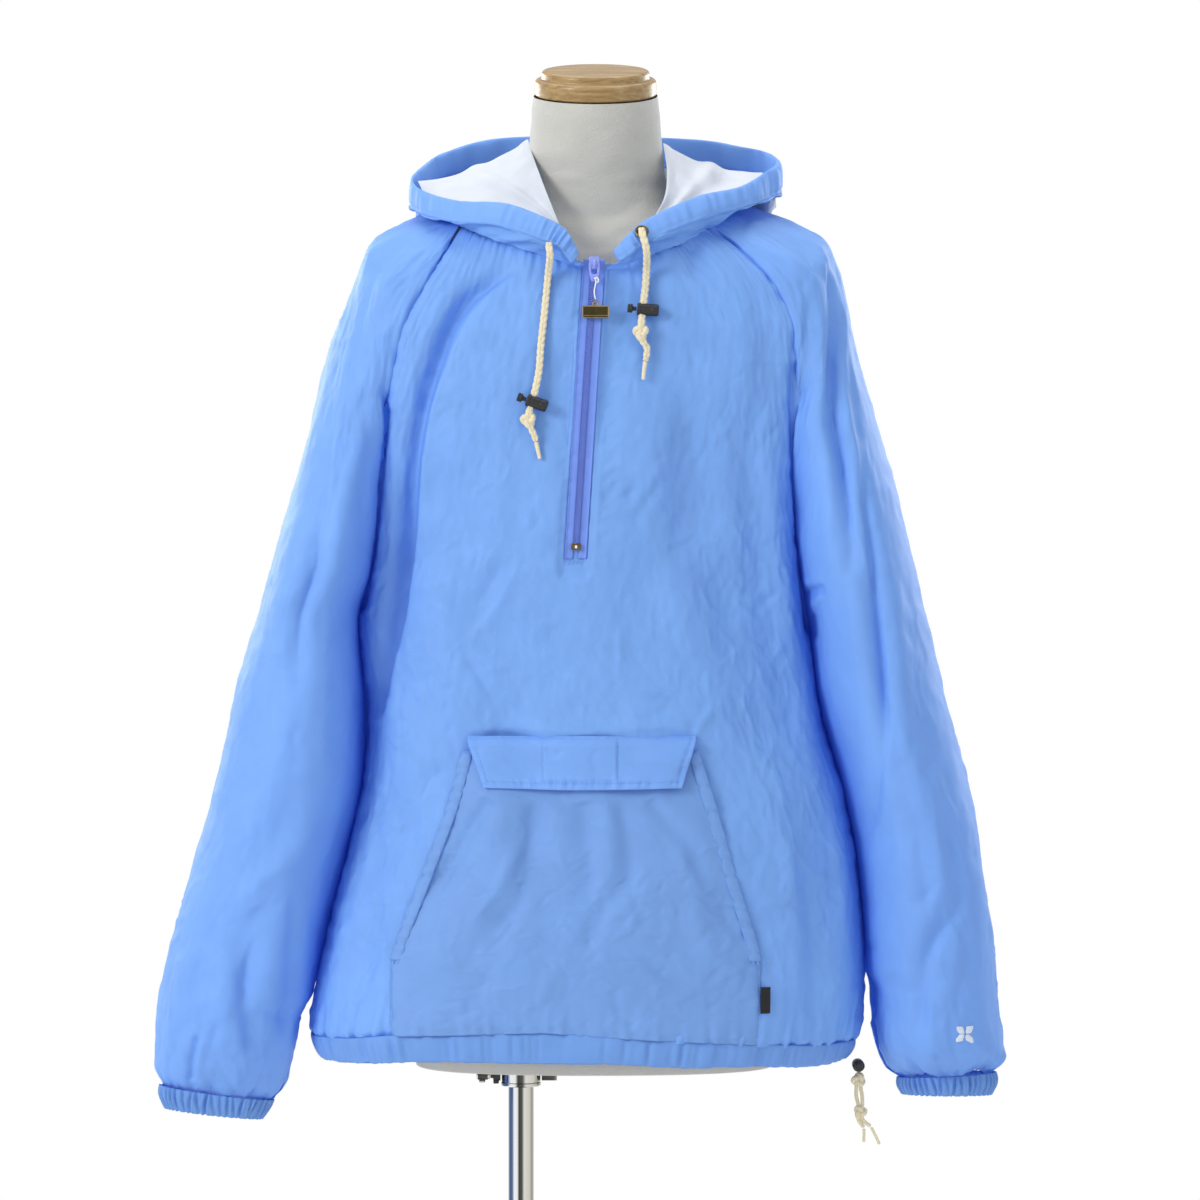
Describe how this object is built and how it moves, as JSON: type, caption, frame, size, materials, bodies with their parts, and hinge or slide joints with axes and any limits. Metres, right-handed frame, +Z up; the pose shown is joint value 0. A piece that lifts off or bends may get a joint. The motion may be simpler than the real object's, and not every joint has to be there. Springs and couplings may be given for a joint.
{
  "type": "anorak pullover on a dress form",
  "caption": "Hooded half-zip anorak pullover with raglan sleeves, kangaroo pocket and drawcords, worn by a limbless dress form on a pole stand that turns and slides.",
  "frame": {"origin": "centre of the base's underside, on the axis of the pole", "axes": "+Z up along the pole, -Y the way the garment's front faces, +X to the right of someone looking at the front"},
  "size_m": [0.7561, 0.3582, 1.5014],
  "materials": {
    "shell": "satin",
    "lining": "matte",
    "tape": "matte",
    "cord": "matte",
    "black": "satin",
    "bronze": "satin",
    "enamel": "satin",
    "label": "matte",
    "knit": "matte",
    "wood": "satin",
    "chrome": "polished",
    "steel": "satin"
  },
  "bodies": {
    "stand": {"base": "steel", "pole": "chrome"},
    "collar": {"clamp_collar": "chrome", "wing_bolt": "black", "wing_nut": "chrome", "cross_tube": "chrome"},
    "form": {"form_torso": "knit", "neck_cap": "wood", "front": "shell", "back": "shell", "sleeve_left": "shell", "sleeve_right": "shell", "cuff_left": "shell", "cuff_right": "shell", "hem_casing": "shell", "hood_shell": "shell", "hood_rim_casing": "shell", "hood_lining": "lining", "pocket_panel": "shell", "pocket_band_left": "shell", "pocket_band_right": "shell", "pocket_flap": "shell", "zip_tape_left": "tape", "zip_tape_right": "tape", "zip_chain": "tape", "zip_stop": "bronze", "zip_slider": "enamel", "eyelet_right": "bronze", "side_label": "label", "cord_lock_left_barrel": "black", "cord_lock_right_barrel": "black", "cord_left_upper": "cord", "cord_right_upper": "cord", "cord_knot_left": "cord", "cord_knot_right": "cord", "cord_left_lower": "cord", "cord_right_lower": "cord", "cord_tip_left": "cord", "cord_tip_right": "cord", "hem_lock_barrel": "black", "hem_knot_upper": "cord", "hem_knot_lower": "cord", "hem_cord_a_middle": "cord", "hem_cord_a_end": "cord", "hem_tip_a": "cord", "hem_cord_b_middle": "cord", "hem_cord_b_end": "cord", "hem_tip_b": "cord"},
    "tab": {"pull_tab": "enamel"},
    "tag": {"tag_string": "lining", "zip_tag": "bronze"},
    "button_left": {"cord_lock_left_plunger": "black"},
    "button_right": {"cord_lock_right_plunger": "black"},
    "button_hem": {"hem_lock_plunger": "black"}
  },
  "joints": [
    {"name": "mast_slide", "type": "slide", "parent": "stand", "child": "collar", "axis": [0, 0, 1], "range_m": [-0.1, 0.06]},
    {"name": "mast_swivel", "type": "hinge", "parent": "collar", "child": "form", "pos_m": [0, 0, 0.598], "axis": [0, 0, 1], "continuous": true},
    {"name": "tab_swing", "type": "hinge", "parent": "form", "child": "tab", "pos_m": [0.066, -0.1123, 1.3095], "axis": [-1, 0, 0], "range_deg": [0, 100]},
    {"name": "tag_swing", "type": "hinge", "parent": "tab", "child": "tag", "pos_m": [0.066, -0.1123, 1.2941], "axis": [-1, 0, 0], "range_deg": [0, 72]},
    {"name": "button_left_press", "type": "slide", "parent": "form", "child": "button_left", "axis": [0.946, 0, -0.324], "range_m": [0, 0.0035], "stiffness_N_per_m": 200, "springref_m": -0.002},
    {"name": "button_right_press", "type": "slide", "parent": "form", "child": "button_right", "axis": [0.9966, 0, -0.0819], "range_m": [0, 0.0035], "stiffness_N_per_m": 200, "springref_m": -0.002},
    {"name": "button_hem_press", "type": "slide", "parent": "form", "child": "button_hem", "axis": [0, 1, 0], "range_m": [0, 0.0035], "stiffness_N_per_m": 200, "springref_m": -0.002}
  ]
}
